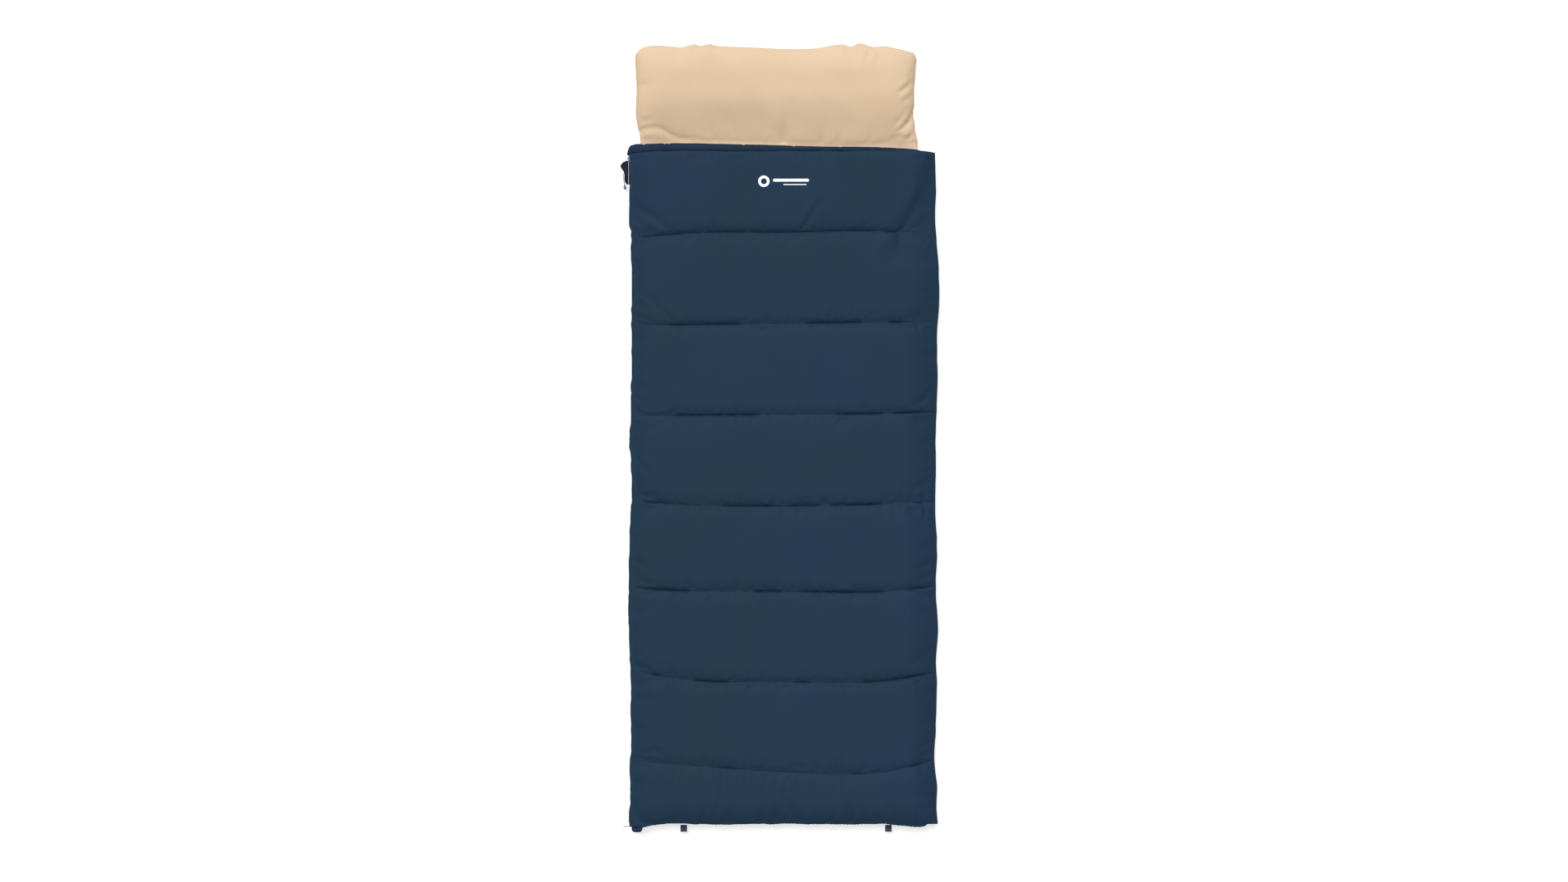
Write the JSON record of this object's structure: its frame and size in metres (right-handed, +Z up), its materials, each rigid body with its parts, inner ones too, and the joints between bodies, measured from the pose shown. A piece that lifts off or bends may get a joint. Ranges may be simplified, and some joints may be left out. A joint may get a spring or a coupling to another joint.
{
  "type": "camp quilt",
  "caption": "Rectangular quilted sleeping bag with a pillow, zipped along its side and foot so that it opens flat as a quilt.",
  "frame": {"origin": "on the underside, at the middle of the bag's plan without the pillow", "axes": "+Y towards the head and the pillow, +X towards the folded side, -X towards the zipped side, +Z up out of the front"},
  "size_m": [0.9162, 2.2794, 0.088],
  "materials": {
    "shell_cloth": "matt woven polyester, dark navy",
    "lining_cloth": "soft brushed cotton mix, warm beige",
    "batting": "white hollow-fibre wadding",
    "zip_tape": "woven tape, dark navy",
    "zip_teeth": "nylon coil, dark navy",
    "zip_metal": "dull plated zinc, dark grey",
    "hook_and_loop": "hook and loop pile, dark navy",
    "cord": "braided cord, light blue-grey",
    "moulded_end": "moulded soft plastic, dark navy",
    "webbing": "flat webbing, dark navy"
  },
  "bodies": {
    "back": {"back_shell": "shell_cloth", "back_batting": "batting", "back_lining": "lining_cloth", "side_tape_back": "zip_tape", "side_teeth_back": "zip_teeth", "side_zip_stop": "zip_metal", "foot_tape_back": "zip_tape", "foot_teeth_back": "zip_teeth", "foot_zip_stop": "zip_metal", "cover_loop_patch": "hook_and_loop", "side_fold": "shell_cloth"},
    "front": {"front_shell": "shell_cloth", "front_batting": "batting", "front_lining": "lining_cloth", "head_hem": "shell_cloth", "draft_tube": "lining_cloth", "corner_tab": "shell_cloth", "side_tape_front": "zip_tape", "side_teeth_front": "zip_teeth", "foot_tape_front": "zip_tape", "foot_teeth_front": "zip_teeth"},
    "cover": {"zip_cover": "shell_cloth", "cover_hook_patch": "hook_and_loop"},
    "side_runner": {"side_slider": "zip_metal"},
    "side_pull": {"side_pull_tab": "zip_metal", "side_pull_cord": "cord", "side_pull_bead": "moulded_end"},
    "foot_runner": {"foot_slider": "zip_metal"},
    "foot_pull": {"foot_pull_tab": "zip_metal", "foot_pull_cord": "cord"},
    "loop_left": {"hanging_loop_left": "webbing"},
    "loop_right": {"hanging_loop_right": "webbing"},
    "pillow": {"pillow_case_top": "lining_cloth", "pillow_case_bottom": "lining_cloth", "pillow_fill": "batting"}
  },
  "joints": [
    {"name": "front_open", "type": "hinge", "parent": "back", "child": "front", "pos_m": [0.4455, 0, 0.04], "axis": [0, 1, 0], "range_deg": [0, 180], "deforming": ["side_fold"]},
    {"name": "cover_lift", "type": "hinge", "parent": "front", "child": "cover", "pos_m": [-0.4469, 0.9, 0.058], "axis": [0, 1, 0], "range_deg": [0, 140]},
    {"name": "side_slider_run", "type": "slide", "parent": "back", "child": "side_runner", "axis": [0, -1, 0], "range_m": [0, 1.9]},
    {"name": "side_pull_flip", "type": "hinge", "parent": "side_runner", "child": "side_pull", "pos_m": [-0.45105, 0.942, 0.04], "axis": [0, 0, -1], "range_deg": [0, 150], "deforming": ["side_pull_cord"]},
    {"name": "foot_slider_run", "type": "slide", "parent": "back", "child": "foot_runner", "axis": [1, 0, 0], "range_m": [0, 0.828]},
    {"name": "foot_pull_flip", "type": "hinge", "parent": "foot_runner", "child": "foot_pull", "pos_m": [-0.4358, -0.98755, 0.04], "axis": [0, 0, 1], "range_deg": [0, 150], "deforming": ["foot_pull_cord"]},
    {"name": "loop_left_swing", "type": "hinge", "parent": "back", "child": "loop_left", "pos_m": [-0.288, -0.9846, 0.0285], "axis": [-1, 0, 0], "range_deg": [-40, 60]},
    {"name": "loop_right_swing", "type": "hinge", "parent": "back", "child": "loop_right", "pos_m": [0.304, -0.9846, 0.0285], "axis": [-1, 0, 0], "range_deg": [-40, 60]},
    {"name": "pillow_fold", "type": "hinge", "parent": "back", "child": "pillow", "pos_m": [0, 0.9823, 0.036], "axis": [1, 0, 0], "range_deg": [0, 40]}
  ]
}
